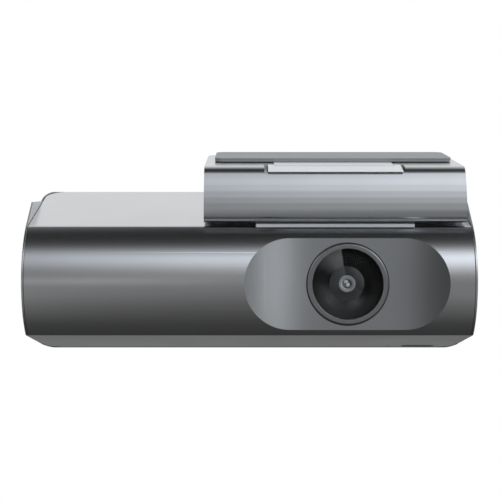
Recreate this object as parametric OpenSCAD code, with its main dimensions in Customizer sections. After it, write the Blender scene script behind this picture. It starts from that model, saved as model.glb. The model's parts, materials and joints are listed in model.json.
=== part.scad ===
// Dash camera on a windscreen bracket: a wedge-nosed aluminium body that swings down on a
// friction hinge from a bracket, which slides off a plate stuck to the glass.
// Y runs back from the nose, X across and Z up, with the lens axis along -Y.

/* [Body] */
// Width over the end cheeks
body_w = 105.2; // [103:0.2:112]
// Depth of the aluminium shell, nose to back
body_d = 35; // [34:0.5:38]
// Radius of the rounded nose
nose_r = 17; // [16.5:0.25:18]
// Wall of the aluminium shell
shell_wall = 1.2; // [0.9:0.1:1.6]
// Slope of the top face, rising to the back
top_slope = 18; // [16:0.5:19]
// Slope of the bottom face, falling to the back
bottom_slope = 9.8; // [8:0.2:11]
// Thickness of an end cheek
cheek_t = 0.5; // [0.4:0.1:1]
// Depth of the rear cover's sides, behind the end cheeks
cover_side = 8.2; // [7:0.2:10]
// Thickness of the rear cover's back wall
cover_t = 2; // [1.6:0.1:2.6]
// Corner radius of the body seen from behind
corner_r = 2; // [1.5:0.25:4]

/* [Lens] */
// Lens centre, in from the right end of the body
lens_in = 30.1; // [29:0.1:33]
// Length of the lens plate
plate_w = 47.5; // [44:0.5:50]
// Height of the lens plate
plate_h = 21; // [20:0.25:22]
// Outer diameter of the lens ring
ring_d = 18.6; // [17.5:0.1:19]
// Diameter of the front glass
glass_d = 16.2; // [15.2:0.1:16.6]
// Outer diameter of the lens barrel
barrel_d = 14; // [12:0.5:15]

/* [Bracket] */
// Width of the bracket
bracket_w = 61.6; // [58:0.2:62]
// Right end of the bracket, in from the right end of the body
bracket_in = 1.7; // [1.5:0.1:4]
// Depth of the bracket, front to back
bracket_d = 34.2; // [33:0.2:36]
// Wall of the bracket
bracket_wall = 1.6; // [1.4:0.1:2]
// Slope of the bracket's top, which lies along the glass
glass_slope = 9.6; // [8:0.2:11]
// Width of the tongue on the windscreen plate
tongue_w = 31.8; // [28:0.2:36]
// Width of the adhesive pad
pad_w = 58; // [54:0.5:60]
// Depth of the adhesive pad
pad_d = 17; // [15:0.5:18]
// Thickness of the adhesive pad
pad_t = 0.5; // [0.4:0.1:0.8]

/* [Hinge] */
// Radius of the hinge pin
pin_r = 1.25; // [1:0.05:1.5]
// Width of the hinge base on the body
base_w = 37.2; // [34:0.2:40]

/* [Button] */
// Length of the pill button
button_l = 8.3; // [7:0.1:10]
// Width of the pill button
button_w = 2.6; // [2.2:0.1:3]
// Travel of the button
button_travel = 0.5; // [0.3:0.1:0.6]

/* [Fits] */
// Gap at a seam between fixed pieces
seam = 0.1; // [0.06:0.01:0.15]
// Radial clearance of a pin that turns in its bore
pin_clear = 0.05; // [0.02:0.01:0.08]
// Gap between pieces that slide past each other
slide_gap = 0.2; // [0.15:0.01:0.25]

/* [Hidden] */
$fn = 48;
far = 60;

// Arc facets are about this many degrees
arc_step = 3;
lens_z = -7.8;
half_w = body_w / 2;
lens_x = half_w - lens_in;
shell_half = half_w - cheek_t - seam;
cheek_d = body_d - cover_side;
nose_c = [nose_r, lens_z + 0.6];
top_ref = [5, 5.3];
bottom_ref = [8.5, -20.5];
edge_r = 1.6;
crease_r = 0.6;
ear_y = 13.3;
ear_slope = 38.6;
bezel_d = ring_d + 2 * 0.15;
back_y = body_d + cover_t;
shell_corner = 5;

function top_z(y) = top_ref[1] + (y - top_ref[0]) * tan(top_slope);
function bottom_z(y) = bottom_ref[1] - (y - bottom_ref[0]) * tan(bottom_slope);
function heading(v) = (atan2(v[1], v[0]) + 360) % 360;
function arc(c, r, a0, a1) =
    let(n = max(2, ceil(abs(a1 - a0) / arc_step)))
    [for (i = [0:n]) c + r * [cos(a0 + (a1 - a0) * i / n), sin(a0 + (a1 - a0) * i / n)]];
// Centre of a fillet of radius r inside a circle (o, big) and under a line through p
// with outward normal n, on the side nearer the nose
function fillet_c(o, big, p, n, r) =
    let(d = n[1] > 0 ? [n[1], -n[0]] : [-n[1], n[0]], q = p - r * n - o,
        b = q * d, c = q * q - pow(big - r, 2))
    p - r * n + (-b - sqrt(b * b - c)) * d;
// Wedge form of the body, moved in by a wall
function body_points(wall = 0, back = body_d) =
    let(r = nose_r - wall, rt = max(edge_r - wall, 0.3), rb = max(crease_r - wall, 0.3),
        nt = [-sin(top_slope), cos(top_slope)], nb = [-sin(bottom_slope), -cos(bottom_slope)],
        ct = fillet_c(nose_c, r, [0, top_z(0)] - wall * nt, nt, rt),
        cb = fillet_c(nose_c, r, [0, bottom_z(0)] - wall * nb, nb, rb))
    concat([[back, bottom_z(back) + wall / cos(bottom_slope)]],
        arc(cb, rb, heading(nb), heading(cb - nose_c)),
        arc(nose_c, r, heading(cb - nose_c), heading(ct - nose_c)),
        arc(ct, rt, heading(ct - nose_c), heading(nt)),
        [[back, top_z(back) - wall / cos(top_slope)]]);
// End cheek: the nose runs on into a raised ear
function cheek_points() =
    let(nb = [-sin(bottom_slope), -cos(bottom_slope)], ne = [-sin(ear_slope), cos(ear_slope)],
        cb = fillet_c(nose_c, nose_r, [0, bottom_z(0)], nb, crease_r),
        touch = nose_c + nose_r * ne,
        ear = [ear_y, touch[1] + (ear_y - touch[0]) * tan(ear_slope)])
    concat([[cheek_d, bottom_z(cheek_d)]],
        arc(cb, crease_r, heading(nb), heading(cb - nose_c)),
        arc(nose_c, nose_r, heading(cb - nose_c), heading(ne)),
        [ear, [cheek_d, top_z(cheek_d)]]);

// Bracket: a wide front of large radius between a flat top and a floor over the body
front_r = 30;
front_c = [33.9, 5.63];
bracket_front = front_c[0] - front_r + 0.3;
bracket_back = bracket_front + bracket_d;
bracket_x1 = half_w - bracket_in;
bracket_x0 = bracket_x1 - bracket_w;
bracket_x = (bracket_x0 + bracket_x1) / 2;
glass_ref = [8.2, 19.8];
floor_gap = 1;
top_round = 3.3;
chin_round = 1.3;
function glass_z(y) = glass_ref[1] + (y - glass_ref[0]) * tan(glass_slope);
function bracket_points(wall = 0, back = bracket_back) =
    let(r = front_r - wall, rt = top_round - wall, rc = max(chin_round - wall, 0.4),
        nt = [-sin(glass_slope), cos(glass_slope)], nc = [sin(top_slope), -cos(top_slope)],
        floor_p = [0, top_z(0) + floor_gap + wall / cos(top_slope)],
        ct = fillet_c(front_c, r, [0, glass_z(0)] - wall * nt, nt, rt),
        cc = fillet_c(front_c, r, floor_p, nc, rc))
    concat([[back, floor_p[1] + back * tan(top_slope)]],
        arc(cc, rc, heading(nc), heading(cc - front_c)),
        arc(front_c, r, heading(cc - front_c), heading(ct - front_c)),
        arc(ct, rt, heading(ct - front_c), heading(nt)),
        [[back, glass_z(back) - wall / cos(glass_slope)]]);

// The origin is the middle of the pad's face, where the glass holds the camera up
module from_pad() {
    translate(-pad_centre) children();
}
// Draws a (y, z) profile from x0 to x1
module across(x0, x1) {
    translate([x0, 0, 0]) rotate([90, 0, 90]) linear_extrude(x1 - x0) children();
}
// Draws an (x, z) outline from y0 to y1
module along(y0, y1) {
    translate([0, y1, 0]) rotate([90, 0, 0]) linear_extrude(y1 - y0) children();
}
// Turns and moves children whose +Z is a pin's or a screw's axis to run along +Y
module facing_back(x, y, z) {
    translate([x, y, z]) rotate([-90, 0, 0]) children();
}
module bar_y(x, z, r, y0, y1) {
    facing_back(x, y0, z) cylinder(r = r, h = y1 - y0);
}
module bar_x(y, z, r, x0, x1) {
    translate([x0, y, z]) rotate([0, 90, 0]) cylinder(r = r, h = x1 - x0);
}
module box(low, high) {
    translate(low) cube(high - low);
}
module stadium(w, h) {
    square([w - h, h], center = true);
    for (s = [-1, 1]) translate([s * (w - h) / 2, 0]) circle(d = h);
}
module round_box(low, high, r) {
    for (x = [low[0] + r, high[0] - r], z = [low[1] + r, high[1] - r])
        translate([x, z]) circle(r = r);
    translate([low[0] + r, low[1]]) square([high[0] - low[0] - 2 * r, high[1] - low[1]]);
    translate([low[0], low[1] + r]) square([high[0] - low[0], high[1] - low[1] - 2 * r]);
}
// On the body's top face, with X across, Y up the slope from the front and Z out of it
module on_top(x, y) {
    translate([x, y, top_z(y)]) rotate([top_slope, 0, 0]) children();
}
// On the underside of the bracket's floor plate, with Z up into the bracket
module on_floor(x, y) {
    translate([x, y, top_z(y) + floor_gap]) rotate([top_slope, 0, 0]) children();
}
// On the bottom face, with Z into the body
module on_bottom(x, y) {
    translate([x, y, bottom_z(y)]) rotate([-bottom_slope, 0, 0]) children();
}
// On the bracket's top, with Z towards the glass
module on_glass(x, y) {
    translate([x, y, glass_z(y)]) rotate([glass_slope, 0, 0]) children();
}

// Plate and pad on the windscreen
plate_t = 0.4;
flange_t = 0.5;
slot_lip = 0.6;
web_in = 1.5;
tongue_front = 12;
tongue_back = 34;
pad_front = 18.2;
ramp_foot = [5.9, 18.5];
ramp_head = [11.6, glass_z(11.6)];
lip_back = ramp_head[0] + 1;
lip_depth = slot_lip + flange_t;
tongue_x0 = bracket_x + 0.2 - tongue_w / 2;
tongue_x1 = tongue_x0 + tongue_w;
pad_lift = slide_gap + plate_t;
pad_up = pad_lift + pad_t;
pad_mid = pad_front + pad_d / 2;
pad_x = bracket_x + 0.4;
pad_centre = [pad_x, pad_mid * cos(glass_slope) - pad_up * sin(glass_slope),
    glass_z(0) + pad_mid * sin(glass_slope) + pad_up * cos(glass_slope)];

module windscreen_plate() {
    half = tongue_w / 2;
    color("gainsboro") {
        on_glass((tongue_x0 + tongue_x1) / 2, 0) {
            box([-half, tongue_front - 1, -slot_lip - flange_t], [half, tongue_back, -slot_lip]);
            box([-half + web_in, tongue_front - 1, -slot_lip], [half - web_in, tongue_back, 0]);
            box([-half + web_in, pad_front + 0.2, -0.1],
                [half - web_in, tongue_back, slide_gap + plate_t / 2]);
        }
        on_glass(pad_x, 0) translate([0, pad_mid, slide_gap])
            linear_extrude(plate_t) round_box([-pad_w / 2, -pad_d / 2], [pad_w / 2, pad_d / 2], 2);
        across(tongue_x0, tongue_x1)
            polygon([ramp_foot, ramp_head, [lip_back, glass_z(lip_back)],
                [lip_back, glass_z(lip_back) - lip_depth],
                [ramp_foot[0], glass_z(ramp_foot[0]) - lip_depth]]);
    }
}

module adhesive_pad() {
    color("dimgray") on_glass(pad_x, 0)
        translate([0, pad_mid, pad_lift])
            linear_extrude(pad_t) round_box([-pad_w / 2, -pad_d / 2], [pad_w / 2, pad_d / 2], 2);
}

// Hinge between bracket and body
hinge_y = 33.2;
hinge_z = 17.6;
knuckle_r = 2.9;
ear_r = 2.6;
lug_w = 5;
ear_w = 4;
washer_t = 0.5;
base_t = 0.75;
head_sunk = 0.4;
base_x0 = bracket_x - base_w / 2;
base_x1 = base_x0 + base_w;
base_front = 5;
base_back = 32;
lug_foot = 25;
ear_gap = washer_t + 0.3;
// The body's rear edge swings inside this radius
sweep_r = 5;
sweep_top = 19.3;

module bracket_rib(low_x, high_x) {
    across(low_x, high_x) intersection() {
        polygon(bracket_points());
        polygon([[9, glass_z(9) - slot_lip - flange_t - 2 * slide_gap - 0.9],
            [36, glass_z(36) - slot_lip - flange_t - 2 * slide_gap - 0.9],
            [36, glass_z(36)], [9, glass_z(9)]]);
    }
}
module ear(x0) {
    difference() {
        across(x0, x0 + ear_w) hull() {
            translate([hinge_y, hinge_z]) circle(r = ear_r, $fn = 32);
            translate([hinge_y - 7, glass_z(hinge_y) - 4]) square([9, 1]);
        }
        bar_x(hinge_y, hinge_z, pin_r + 0.01, x0 - 1, x0 + ear_w + 1);
    }
}
floor_front = 10.5;
floor_back = 27;
floor_t = 1.2;
floor_boss = [for (x = [bracket_x0 + 3.5, bracket_x1 - 3.5], y = [12.5, 24]) [x, y]];
boss_r = 2;
floor_screw_l = 4.5;

bracket_corner = 3;
// The bracket seen from above, with its rear corners rounded
module bracket_plan() {
    r = bracket_corner;
    linear_extrude(far) {
        translate([bracket_x0, 0]) square([bracket_w, bracket_back - r]);
        translate([bracket_x0 + r, 0]) square([bracket_w - 2 * r, bracket_back]);
        for (x = [bracket_x0 + r, bracket_x1 - r]) translate([x, bracket_back - r]) circle(r = r);
    }
}

module bracket_shell() {
    notch_gap = 0.6;
    half = tongue_w / 2;
    color("silver") difference() {
        union() {
            difference() {
                intersection() {
                    across(bracket_x0, bracket_x1) polygon(bracket_points());
                    bracket_plan();
                }
                across(bracket_x0 + bracket_wall, bracket_x1 - bracket_wall) {
                    back = bracket_back - bracket_wall;
                    polygon(bracket_points(bracket_wall, back));
                    // The underside is open behind the chin, where the floor plate goes in
                    polygon([[floor_front - seam, top_z(floor_front) - 2],
                        [back, top_z(back) - 2], [back, glass_z(back) - 3],
                        [floor_front - seam, glass_z(floor_front) - 5]]);
                }
                across(bracket_x0 - 1, bracket_x1 + 1) intersection() {
                    translate([hinge_y, hinge_z]) circle(r = sweep_r);
                    translate([hinge_y - far, sweep_top - far]) square([2 * far, far]);
                }
                // The back wall ends above the body's sweep
                box([bracket_x0 - 1, bracket_back - bracket_wall - 1, 0],
                    [bracket_x1 + 1, bracket_back + 1, sweep_top]);
            }
            bracket_rib(tongue_x0 - 2.4, tongue_x1 + 2.4);
            ear(base_x0 + lug_w + ear_gap);
            ear(base_x1 - lug_w - ear_gap - ear_w);
            intersection() {
                for (p = floor_boss) on_floor(p[0], p[1]) translate([0, 0, floor_t + seam])
                    cylinder(r = boss_r, h = far);
                across(bracket_x0, bracket_x1) polygon(bracket_points(bracket_wall / 2));
            }
        }
        on_glass((tongue_x0 + tongue_x1) / 2, 0) {
            box([-half - slide_gap, -far / 2, -slot_lip - flange_t - slide_gap],
                [half + slide_gap, tongue_back + slide_gap, -slot_lip + slide_gap]);
            box([-half + web_in - slide_gap, -far / 2, -slot_lip],
                [half - web_in + slide_gap, tongue_back + slide_gap, 2]);
        }
        across(tongue_x0 - notch_gap - 0.3, tongue_x1 + notch_gap) {
            back = lip_back + slide_gap;
            polygon([[0, glass_z(0) - lip_depth - slide_gap],
                [back, glass_z(back) - lip_depth - slide_gap], [back, far], [0, far]]);
        }
        for (p = floor_boss) on_floor(p[0], p[1]) translate([0, 0, -1])
            cylinder(r = 0.8, h = floor_screw_l + 1.4);
    }
}

module bracket_floor() {
    y0 = floor_front;
    y1 = floor_back;
    x0 = bracket_x0 + bracket_wall + seam;
    x1 = bracket_x1 - bracket_wall - seam;
    color("dimgray") difference() {
        across(x0, x1) polygon([
            [y0, top_z(y0) + floor_gap], [y1, top_z(y1) + floor_gap],
            [y1, top_z(y1) + floor_gap + floor_t], [y0, top_z(y0) + floor_gap + floor_t]]);
        for (p = floor_boss) on_floor(p[0], p[1]) {
            translate([0, 0, -1]) cylinder(r = 0.9, h = 4);
            translate([0, 0, -1]) cylinder(r = 1.8, h = 1.5);
        }
        // Room for the hinge base's lugs
        box([base_x0 - 1, lug_foot - 1, 0], [base_x1 + 1, far, far]);
    }
}

module floor_screws() {
    color("gray") for (p = floor_boss) on_floor(p[0], p[1]) {
        cylinder(r = 1.6, h = 0.5);
        translate([0, 0, 0.4]) cylinder(r = 0.79, h = floor_screw_l - 0.4);
    }
}

module hinge_pin() {
    color("lightgray") {
        bar_x(hinge_y, hinge_z, pin_r, base_x0 - 0.6, base_x1 + 0.6);
        bar_x(hinge_y, hinge_z, pin_r + 0.9, base_x0 - 1.2, base_x0 - 0.3);
    }
}

module friction_washers() {
    color("goldenrod") for (x = [base_x0 + lug_w + 0.2, base_x1 - lug_w - 0.2 - washer_t])
        difference() {
            bar_x(hinge_y, hinge_z, ear_r - 0.1, x, x + washer_t);
            bar_x(hinge_y, hinge_z, pin_r + 0.02, x - 1, x + washer_t + 1);
        }
}

module gps_antenna() {
    y0 = 13;
    y1 = 23;
    base = floor_gap + floor_t;
    x0 = bracket_x - 10.1;
    color("wheat") {
        across(x0, x0 + 20) polygon([[y0, top_z(y0) + base], [y1, top_z(y1) + base],
            [y1, top_z(y1) + base + 0.8], [y0, top_z(y0) + base + 0.8]]);
        across(x0 + 3, x0 + 15) polygon([[y0, top_z(y0) + base + 0.7], [y1, top_z(y1) + base + 0.7],
            [y1, top_z(y1) + base + 2.4], [y0, top_z(y0) + base + 2.4]]);
    }
}

base_screw = [for (x = [base_x0 + 4, base_x1 - 4], y = [11, 21]) [x, y]];
screw_r = 0.8;

module hinge_base() {
    rise = base_t / cos(top_slope);
    color("silver") difference() {
        union() {
            across(base_x0, base_x1) polygon([
                [base_front, top_z(base_front)], [base_back, top_z(base_back)],
                [base_back, top_z(base_back) + rise], [base_front, top_z(base_front) + rise]]);
            for (x = [base_x0, base_x1 - lug_w]) across(x, x + lug_w) hull() {
                translate([hinge_y, hinge_z]) circle(r = knuckle_r, $fn = 32);
                polygon([[lug_foot, top_z(lug_foot)], [base_back, top_z(base_back)],
                    [base_back, top_z(base_back) + rise], [lug_foot, top_z(lug_foot) + rise]]);
            }
        }
        bar_x(hinge_y, hinge_z, pin_r + pin_clear, base_x0 - 1, base_x1 + 1);
        // Open between the lugs, where the bracket's ears hang
        box([base_x0 + lug_w, lug_foot - 1, 0], [base_x1 - lug_w, far, far]);
        for (p = base_screw) on_top(p[0], p[1]) {
            translate([0, 0, -1]) cylinder(r = screw_r + 0.1, h = 5);
            translate([0, 0, base_t - head_sunk]) cylinder(r = 1.8, h = 3);
        }
    }
}

module base_screws() {
    color("gray") for (p = base_screw) on_top(p[0], p[1]) {
        translate([0, 0, base_t - head_sunk]) cylinder(r = 1.7, h = head_sunk);
        translate([0, 0, -3.2]) cylinder(r = screw_r, h = 4);
    }
}

// Places inside the body, counted from its ends, its back and its top and bottom faces
case_screw_l = 9;
case_boss = [for (x = [-half_w + 5.6, half_w - 5.6],
    z = [top_z(body_d) - 8.4, bottom_z(body_d) + 9.7]) [x, z]];
case_boss_r = 2.6;
board_front = body_d - 9;
board_t = 1.2;
board_back = board_front + board_t;
board_post = [for (x = [-half_w + 16.6, half_w - 14.6], z = [4, -17]) [x, z]];
sensor_y = board_front - 3.4;
seat_y = 1.3;
button_x = half_w - 9.5;
button_y = body_d - 2.6;
mic_in = 17;
mic_x = half_w - mic_in;
mic_y = body_d - 2;
speaker_in = 22.6;
speaker_x = -half_w + speaker_in;
speaker_z = -5;
usb_z = [-5.6, 3.4];
card_z = [-11.4, 0.4];

// The shell seen from above, with its rear corners rounded
module shell_plan(grow = 0) {
    w = shell_half + grow;
    translate([0, 0, -far]) linear_extrude(2 * far) {
        translate([-w, -10]) square([2 * w, 10 + body_d + grow - shell_corner]);
        translate([-w + shell_corner, 0]) square([2 * (w - shell_corner), body_d + grow]);
        for (s = [-1, 1]) translate([s * (w - shell_corner), body_d + grow - shell_corner])
            circle(r = shell_corner);
    }
}

module front_shell() {
    color("lightslategray") difference() {
        union() {
            difference() {
                intersection() {
                    across(-shell_half, shell_half) polygon(body_points());
                    shell_plan();
                }
                across(-far, far) polygon(body_points(shell_wall, body_d + 5));
            }
            intersection() {
                across(-shell_half, shell_half) polygon(body_points());
                union() {
                    for (p = case_boss) bar_y(p[0], p[1], case_boss_r, 0, body_d - 2);
                    bar_y(lens_x, lens_z, ring_d / 2 + 1.6, 0, 5);
                    for (p = base_screw) on_top(p[0], p[1]) translate([0, 0, -4])
                        cylinder(r = 2.2, h = 4);
                }
            }
        }
        bar_y(lens_x, lens_z, bezel_d / 2, -5, seat_y);
        bar_y(lens_x, lens_z, barrel_d / 2 + seam, -5, 8);
        for (p = case_boss) bar_y(p[0], p[1], 1, body_d - case_screw_l - 6, body_d);
        for (p = base_screw) on_top(p[0], p[1]) translate([0, 0, -3.3])
            cylinder(r = screw_r, h = 5);
        on_bottom(button_x, button_y) translate([0, 0, -1]) linear_extrude(3)
            stadium(button_l + 2 * slide_gap, button_w + 2 * slide_gap);
        on_bottom(mic_x, mic_y) translate([0, 0, -1]) linear_extrude(3) stadium(1.7, 1);
    }
}

module end_cheek(side) {
    x = side < 0 ? -half_w : half_w - cheek_t;
    across(x, x + cheek_t) polygon(cheek_points());
}
module left_cheek() {
    color("slategray") difference() {
        end_cheek(-1);
        translate([-half_w - 1, 0, 0]) rotate([90, 0, 90]) linear_extrude(3)
            round_box([board_front - 3.3, usb_z[0] - 0.2], [board_front + 0.1, usb_z[1] + 0.2], 1.6);
    }
}
module right_cheek() {
    color("slategray") end_cheek(1);
}

vent_l = 11;
vent_w = 1.3;
vent_pitch = 2.6;

module vents() {
    for (i = [0:6], x = vent_x)
        translate([x, 0, 3 - i * vent_pitch]) rotate([90, 0, 0])
            linear_extrude(3 * cover_t, center = true) stadium(vent_l, vent_w);
}
module speaker_holes() {
    for (ring = [0:2], i = [0:max(0, 6 * ring - 1)])
        bar_y(speaker_x + 2.4 * ring * cos(60 * i / max(1, ring)),
            speaker_z + 2.4 * ring * sin(60 * i / max(1, ring)), 0.6, -3, 3, $fn = 24);
}

module rear_cover() {
    y0 = cheek_d + seam;
    rim_x = half_w - 12.6;
    color("#202124") difference() {
        union() {
            difference() {
                intersection() {
                    across(-half_w, half_w) polygon(body_points(0, back_y));
                    along(y0, back_y)
                        round_box([-half_w, bottom_z(back_y)], [half_w, top_z(body_d)], corner_r);
                }
                shell_plan(seam);
            }
            difference() {
                across(-rim_x, rim_x) polygon(body_points(shell_wall + seam, body_d + 0.5));
                across(-far, far) polygon(body_points(shell_wall + 1.4, body_d + 1));
                box([-far, -10, -far], [far, body_d - 3.5, far]);
                box([mic_x - 3, 0, -far], [far, body_d, lens_z]);
            }
            for (p = board_post) bar_y(p[0], p[1], 2, board_back, body_d + 0.5);
        }
        for (p = case_boss) {
            bar_y(p[0], p[1], 1.15, body_d - 1, far);
            bar_y(p[0], p[1], 2.1, back_y - 1.2, far);
        }
        translate([0, back_y - cover_t / 2, 0]) {
            vents();
            speaker_holes();
        }
        box([-far, board_back + 0.1, card_z[0] + 0.3],
            [-half_w + cheek_t + 0.4, board_back + 1.4, card_z[1] - 0.3]);
    }
}

module cover_screws() {
    color("gray") for (p = case_boss) {
        bar_y(p[0], p[1], 0.99, body_d - case_screw_l, back_y - 0.6);
        bar_y(p[0], p[1], 1.95, back_y - 1.2, back_y - 0.2);
    }
}

plate_face = -1.6;
plate_round = 200;

module lens_plate() {
    color("slategray") difference() {
        intersection() {
            translate([lens_x, 0, lens_z]) along(-3, 8) stadium(plate_w, plate_h);
            translate([lens_x, plate_face + plate_round, -far])
                cylinder(r = plate_round, h = 2 * far, $fn = 720);
        }
        across(-far, far) polygon(body_points());
        bar_y(lens_x, lens_z, bezel_d / 2, -9, 9);
    }
}

glass_r = glass_d / 2;
glass_apex = -1.7;
glass_back = 0.6;

// Turned pieces on the lens axis, drawn as [radius, y]
module turned(points) {
    translate([lens_x, 0, lens_z]) rotate([-90, 0, 0]) rotate_extrude($fn = 96) polygon(points);
}
module lens_ring() {
    r = ring_d / 2;
    color("dimgray") turned([[glass_r + 0.02, -2.1], [r - 0.25, -2.1], [r, -1.85], [r, seat_y],
        [barrel_d / 2 - 0.4, seat_y], [barrel_d / 2 - 0.4, glass_back], [glass_r + 0.02, glass_back]]);
}
module front_glass() {
    bulge = 24;
    color("black") translate([lens_x, 0, lens_z]) rotate([-90, 0, 0]) intersection() {
        translate([0, 0, -far]) cylinder(r = glass_r, h = far + glass_back, $fn = 96);
        translate([0, 0, glass_apex + bulge]) sphere(r = bulge, $fn = 96);
    }
}
barrel_back = sensor_y - 1.6;
module lens_barrel() {
    r = barrel_d / 2;
    stop = seat_y + 3.7;
    seat = stop + 5;
    color("#1a1a1c") turned([[r, seat_y], [r, barrel_back], [3.6, barrel_back], [3.6, seat],
        [4.2, seat], [4.2, stop], [5, stop], [5, stop - 1.6], [6, stop - 1.6], [6, seat_y]]);
}
module iris_ring() {
    color("gray") turned([[1.8, 4.2], [4.98, 3.9], [4.98, 4.9], [1.8, 4.6]]);
}
module rear_lens() {
    color("black") turned([[0, 5.4], [2, 5.55], [4.18, 6.2], [4.18, 8.4], [0, 8.4]]);
}
holder_half = 9;
holder_d = 8;
module lens_holder() {
    r = barrel_d / 2;
    color("#2a2a2c") difference() {
        translate([lens_x, 0, lens_z]) along(barrel_back - holder_d, sensor_y)
            round_box([-holder_half, -holder_half], [holder_half, holder_half], 1.5);
        bar_y(lens_x, lens_z, r + 0.02, 0, barrel_back);
        translate([lens_x, 0, lens_z])
            box([-5.5, barrel_back - 1, -5.5], [5.5, sensor_y + 1, 5.5]);
    }
}
module image_sensor() {
    color("darkslateblue") translate([lens_x, 0, lens_z])
        box([-4.5, sensor_y - 1, -3.6], [4.5, sensor_y, 3.6]);
}
sensor_board_half = [11, 10.5];
module sensor_board() {
    color("darkgreen") translate([lens_x, 0, lens_z])
        box([-sensor_board_half[0], sensor_y, -sensor_board_half[1]],
            [sensor_board_half[0], sensor_y + board_t, sensor_board_half[1]]);
}
module board_link() {
    color("ivory") translate([lens_x, 0, lens_z])
        box([-7, sensor_y + board_t, -8], [7, board_front, -4.5]);
}

board_x = half_w - 9.2;
board_z = [bottom_z(board_front) + 2.3, top_z(board_front) - 1.5];
tab_z = [-12.4, 3.6];
module main_board() {
    color("darkgreen") union() {
        box([-board_x, board_front, board_z[0]], [board_x, board_back, board_z[1]]);
        box([-half_w + cheek_t + 0.6, board_front, tab_z[0]], [0, board_back, tab_z[1]]);
    }
}
chip_t = 1.4;
chip_side = 14;
spreader_w = 26;
spreader_z = [-16, 5];
fin_t = 1.2;
fins = 9;
vent_x = [6, 20];
vent_mid = (vent_x[0] + vent_x[1]) / 2;
module processor() {
    x0 = vent_mid - 1 - chip_side / 2;
    z0 = spreader_z[0] + 3;
    color("#18181a") box([x0, board_back, z0], [x0 + chip_side, board_back + chip_t, z0 + chip_side]);
}
module heat_spreader() {
    y0 = board_back + chip_t;
    x0 = vent_mid - spreader_w / 2;
    color("lightgray") union() {
        box([x0, y0, spreader_z[0]], [x0 + spreader_w, y0 + 1.6, spreader_z[1]]);
        for (i = [0:fins - 1])
            translate([x0 + i * (spreader_w - fin_t) / (fins - 1), y0 + 1.5, spreader_z[0]])
                cube([fin_t, body_d - y0 - 1.6, spreader_z[1] - spreader_z[0]]);
    }
}
cap_r = 4;
cap_l = 17;
module supercapacitors() {
    x0 = speaker_x - 4;
    color("midnightblue") for (z = [1.5, 1.5 - 2 * cap_r - 1])
        bar_x(board_front - cap_r, z, cap_r, x0, x0 + cap_l);
}
module usb_socket() {
    depth = 7.4;
    color("silver") translate([-half_w + cheek_t + 0.2, 0, 0]) rotate([90, 0, 90])
        linear_extrude(depth) difference() {
            round_box([board_front - 3.2, usb_z[0]], [board_front, usb_z[1]], 1.5);
            round_box([board_front - 2.9, usb_z[0] + 0.3], [board_front - 0.3, usb_z[1] - 0.3], 1.2);
        }
    color("black") box([-half_w + cheek_t + 1, board_front - 2, usb_z[0] + 1],
        [-half_w + cheek_t + 0.2 + depth, board_front - 1.2, usb_z[1] - 1]);
    color("silver") box([-half_w + cheek_t + depth - 0.6, board_front - 3, usb_z[0] + 0.5],
        [-half_w + cheek_t + depth + 0.2, board_front - 0.2, usb_z[1] - 0.5]);
}
card_l = 14;
module card_socket() {
    x0 = -half_w + cheek_t + 0.6;
    color("silver") difference() {
        box([x0, board_back, card_z[0]], [x0 + card_l, board_back + 1.7, card_z[1]]);
        box([x0 - 1, board_back + 0.3, card_z[0] + 0.4],
            [x0 + card_l - 1.5, board_back + 1.3, card_z[1] - 0.4]);
    }
}
module speaker() {
    y1 = body_d - 0.1;
    color("#303034") union() {
        bar_y(speaker_x, speaker_z, 7.5, y1 - 2, y1);
        bar_y(speaker_x, speaker_z, 5, board_back + 1.8, y1 - 2);
    }
}
antenna_l = 24;
antenna_in = 16;
module radio_antenna() {
    x0 = speaker_x + antenna_in;
    color("darkgreen")
        box([x0, body_d - 0.9, spreader_z[1]], [x0 + antenna_l, body_d - 0.1, board_z[1] - 1]);
}
module microphone() {
    color("gray") union() {
        box([mic_x - 1.6, mic_y - 1.6, bottom_z(mic_y) + shell_wall + 0.5],
            [mic_x + 1.6, mic_y + 1.4, bottom_z(mic_y) + shell_wall + 2]);
        box([mic_x - 1, board_back, bottom_z(mic_y) + shell_wall + 1.6],
            [mic_x + 1, mic_y, board_z[0] + 1]);
    }
}
cap_in = 1.5;
collar_t = 0.6;
cap_proud = 0.1;
module event_button() {
    color("#303034") on_bottom(button_x, button_y) {
        translate([0, 0, -cap_proud]) linear_extrude(cap_in + cap_proud)
            stadium(button_l, button_w);
        translate([0, 0, cap_in]) linear_extrude(collar_t)
            stadium(button_l + 1, button_w + 1);
    }
}
module button_switch() {
    stem = cap_in + collar_t + button_travel + 0.1;
    color("gray") union() {
        on_bottom(button_x, button_y) {
            translate([0, 0, stem]) cylinder(r = 0.9, h = 0.8);
            box([-2.6, -1.6, stem + 0.6], [2.6, 1.4, stem + 2.2]);
        }
        box([button_x - 2.6, board_back, board_z[0] + 0.6],
            [button_x + 0.3, button_y + 0.5, board_z[0] + 2]);
    }
}

from_pad() windscreen_plate();
from_pad() adhesive_pad();
from_pad() bracket_shell();
from_pad() bracket_floor();
from_pad() floor_screws();
from_pad() hinge_pin();
from_pad() friction_washers();
from_pad() gps_antenna();
from_pad() front_shell();
from_pad() left_cheek();
from_pad() right_cheek();
from_pad() rear_cover();
from_pad() cover_screws();
from_pad() hinge_base();
from_pad() base_screws();
from_pad() lens_plate();
from_pad() lens_ring();
from_pad() front_glass();
from_pad() lens_barrel();
from_pad() rear_lens();
from_pad() iris_ring();
from_pad() lens_holder();
from_pad() image_sensor();
from_pad() sensor_board();
from_pad() board_link();
from_pad() main_board();
from_pad() processor();
from_pad() heat_spreader();
from_pad() supercapacitors();
from_pad() usb_socket();
from_pad() card_socket();
from_pad() speaker();
from_pad() radio_antenna();
from_pad() microphone();
from_pad() button_switch();
from_pad() event_button();
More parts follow.
